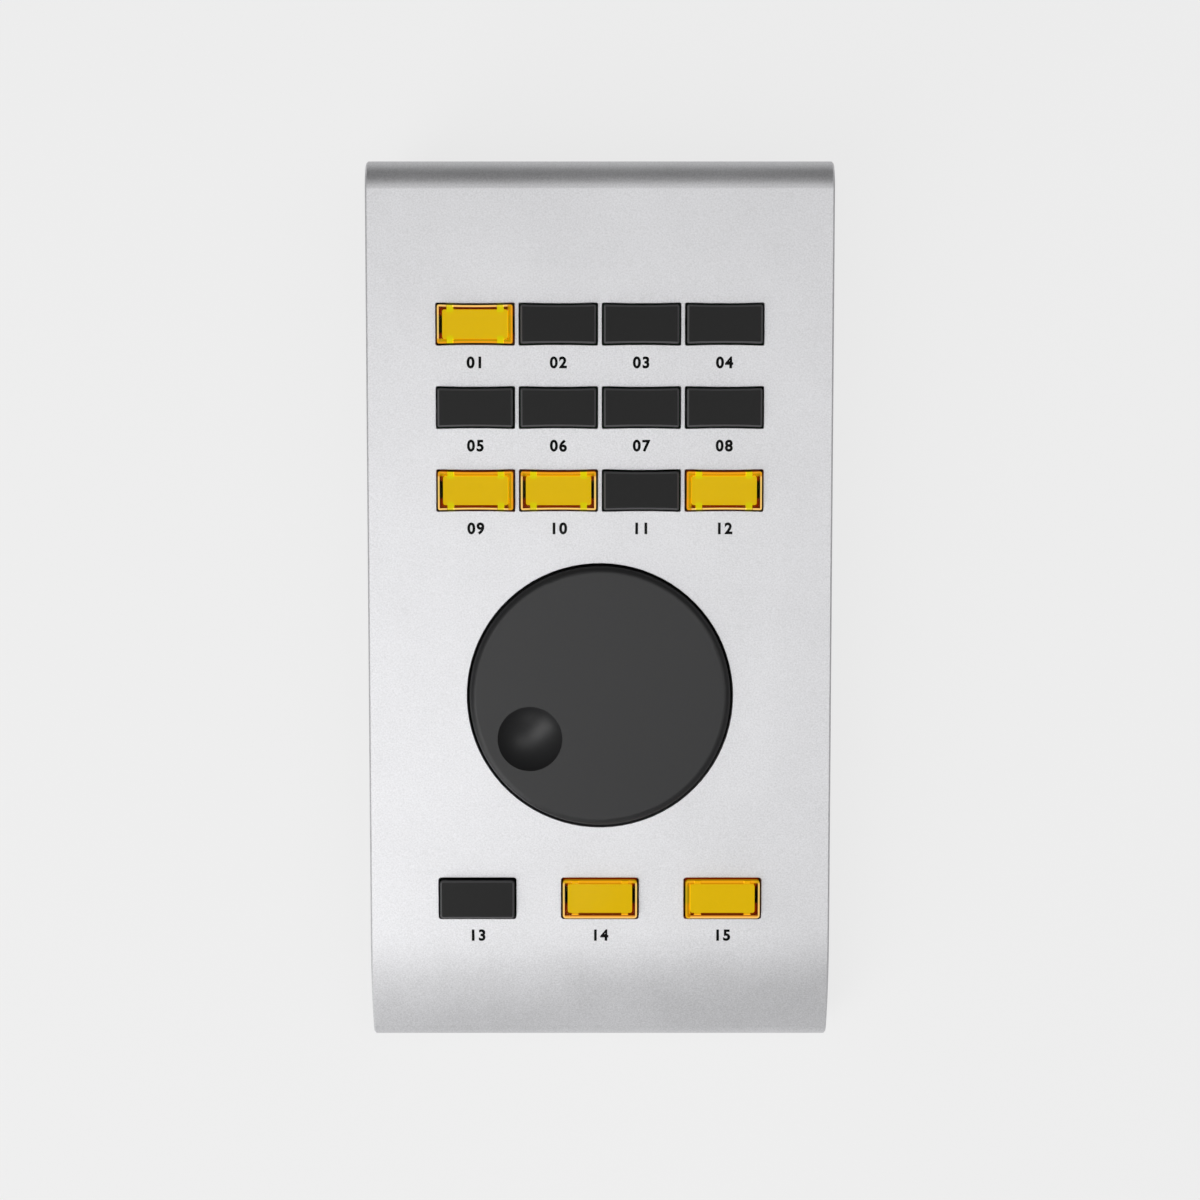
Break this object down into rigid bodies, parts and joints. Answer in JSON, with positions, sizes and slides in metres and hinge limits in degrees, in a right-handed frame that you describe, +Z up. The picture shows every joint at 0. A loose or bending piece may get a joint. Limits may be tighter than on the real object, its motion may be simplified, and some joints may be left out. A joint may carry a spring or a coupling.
{
  "type": "audio remote controller",
  "caption": "Desktop audio remote controller: sloping folded aluminium case, lit rectangular keys and one big black wheel with a finger dimple",
  "frame": {"origin": "on the desk, under the middle of the case's bounding box", "axes": "+X right, +Y to the back, +Z up; the front faces -Y"},
  "size_m": [0.1072, 0.2042, 0.041],
  "materials": {
    "anodised_aluminium": "bead-blasted, clear anodised",
    "black_steel": "fine-texture black powder coat",
    "black_abs": "spark-eroded moulding",
    "foot_rubber": "matt",
    "screw_steel": "zinc plated",
    "spacer_brass": "turned",
    "circuit_board": "green solder mask",
    "chip_resin": "moulded",
    "switch_resin": "moulded",
    "sprung_steel": "rolled",
    "lamp_resin": "clear epoxy",
    "wheel_black": "satin black",
    "encoder_metal": "stamped",
    "socket_resin": "moulded",
    "nut_chrome": "plated",
    "ribbon_vinyl": "flat cable",
    "amber_cap": "clear amber moulding, lit",
    "smoke_cap": "smoked moulding, unlit",
    "lit_light_guide": "light guide, lit",
    "dark_light_guide": "light guide, unlit"
  },
  "bodies": {
    "housing": {"top_shell": "anodised_aluminium", "base_plate": "black_steel", "rear_panel": "black_steel", "left_cheek": "black_abs", "right_cheek": "black_abs", "rubber_feet": "foot_rubber", "base_screws": "screw_steel", "lip_screws": "screw_steel", "board_screws": "screw_steel", "io_screws": "screw_steel", "board_spacers": "spacer_brass", "io_spacers": "spacer_brass", "main_board": "circuit_board", "io_board": "circuit_board", "controller_chip": "chip_resin", "switch_housings": "switch_resin", "click_domes": "sprung_steel", "key_leds": "lamp_resin", "encoder_body": "encoder_metal", "encoder_nut": "screw_steel", "encoder_washer": "screw_steel", "wheel_dish": "black_abs", "usb_socket": "screw_steel", "usb_insert": "socket_resin", "jack_socket": "switch_resin", "jack_nut": "nut_chrome", "ribbon_headers": "socket_resin", "ribbon_cable": "ribbon_vinyl"},
    "wheel": {"jog_wheel": "wheel_black", "encoder_shaft": "screw_steel"},
    "key_01": {"key_cap_01": "amber_cap", "key_plunger_01": "lit_light_guide"},
    "key_02": {"key_cap_02": "smoke_cap", "key_plunger_02": "dark_light_guide"},
    "key_03": {"key_cap_03": "smoke_cap", "key_plunger_03": "dark_light_guide"},
    "key_04": {"key_cap_04": "smoke_cap", "key_plunger_04": "dark_light_guide"},
    "key_05": {"key_cap_05": "smoke_cap", "key_plunger_05": "dark_light_guide"},
    "key_06": {"key_cap_06": "smoke_cap", "key_plunger_06": "dark_light_guide"},
    "key_07": {"key_cap_07": "smoke_cap", "key_plunger_07": "dark_light_guide"},
    "key_08": {"key_cap_08": "smoke_cap", "key_plunger_08": "dark_light_guide"},
    "key_09": {"key_cap_09": "amber_cap", "key_plunger_09": "lit_light_guide"},
    "key_10": {"key_cap_10": "amber_cap", "key_plunger_10": "lit_light_guide"},
    "key_11": {"key_cap_11": "smoke_cap", "key_plunger_11": "dark_light_guide"},
    "key_12": {"key_cap_12": "amber_cap", "key_plunger_12": "lit_light_guide"},
    "key_13": {"key_cap_13": "smoke_cap", "key_plunger_13": "dark_light_guide"},
    "key_14": {"key_cap_14": "amber_cap", "key_plunger_14": "lit_light_guide"},
    "key_15": {"key_cap_15": "amber_cap", "key_plunger_15": "lit_light_guide"}
  },
  "joints": [
    {"name": "wheel_turn", "type": "hinge", "parent": "housing", "child": "wheel", "pos_m": [0, -0.021, 0.03019], "axis": [0, -0.0924, 0.9957], "continuous": true},
    {"name": "key_press_01", "type": "slide", "parent": "housing", "child": "key_01", "axis": [0, 0.0924, -0.9957], "range_m": [0, 0.0008], "stiffness_N_per_m": 1500, "deforming": ["click_domes"]},
    {"name": "key_press_02", "type": "slide", "parent": "housing", "child": "key_02", "axis": [0, 0.0924, -0.9957], "range_m": [0, 0.0008], "stiffness_N_per_m": 1500, "deforming": ["click_domes"]},
    {"name": "key_press_03", "type": "slide", "parent": "housing", "child": "key_03", "axis": [0, 0.0924, -0.9957], "range_m": [0, 0.0008], "stiffness_N_per_m": 1500, "deforming": ["click_domes"]},
    {"name": "key_press_04", "type": "slide", "parent": "housing", "child": "key_04", "axis": [0, 0.0924, -0.9957], "range_m": [0, 0.0008], "stiffness_N_per_m": 1500, "deforming": ["click_domes"]},
    {"name": "key_press_05", "type": "slide", "parent": "housing", "child": "key_05", "axis": [0, 0.0924, -0.9957], "range_m": [0, 0.0008], "stiffness_N_per_m": 1500, "deforming": ["click_domes"]},
    {"name": "key_press_06", "type": "slide", "parent": "housing", "child": "key_06", "axis": [0, 0.0924, -0.9957], "range_m": [0, 0.0008], "stiffness_N_per_m": 1500, "deforming": ["click_domes"]},
    {"name": "key_press_07", "type": "slide", "parent": "housing", "child": "key_07", "axis": [0, 0.0924, -0.9957], "range_m": [0, 0.0008], "stiffness_N_per_m": 1500, "deforming": ["click_domes"]},
    {"name": "key_press_08", "type": "slide", "parent": "housing", "child": "key_08", "axis": [0, 0.0924, -0.9957], "range_m": [0, 0.0008], "stiffness_N_per_m": 1500, "deforming": ["click_domes"]},
    {"name": "key_press_09", "type": "slide", "parent": "housing", "child": "key_09", "axis": [0, 0.0924, -0.9957], "range_m": [0, 0.0008], "stiffness_N_per_m": 1500, "deforming": ["click_domes"]},
    {"name": "key_press_10", "type": "slide", "parent": "housing", "child": "key_10", "axis": [0, 0.0924, -0.9957], "range_m": [0, 0.0008], "stiffness_N_per_m": 1500, "deforming": ["click_domes"]},
    {"name": "key_press_11", "type": "slide", "parent": "housing", "child": "key_11", "axis": [0, 0.0924, -0.9957], "range_m": [0, 0.0008], "stiffness_N_per_m": 1500, "deforming": ["click_domes"]},
    {"name": "key_press_12", "type": "slide", "parent": "housing", "child": "key_12", "axis": [0, 0.0924, -0.9957], "range_m": [0, 0.0008], "stiffness_N_per_m": 1500, "deforming": ["click_domes"]},
    {"name": "key_press_13", "type": "slide", "parent": "housing", "child": "key_13", "axis": [0, 0.0924, -0.9957], "range_m": [0, 0.0008], "stiffness_N_per_m": 1500, "deforming": ["click_domes"]},
    {"name": "key_press_14", "type": "slide", "parent": "housing", "child": "key_14", "axis": [0, 0.0924, -0.9957], "range_m": [0, 0.0008], "stiffness_N_per_m": 1500, "deforming": ["click_domes"]},
    {"name": "key_press_15", "type": "slide", "parent": "housing", "child": "key_15", "axis": [0, 0.0924, -0.9957], "range_m": [0, 0.0008], "stiffness_N_per_m": 1500, "deforming": ["click_domes"]}
  ]
}
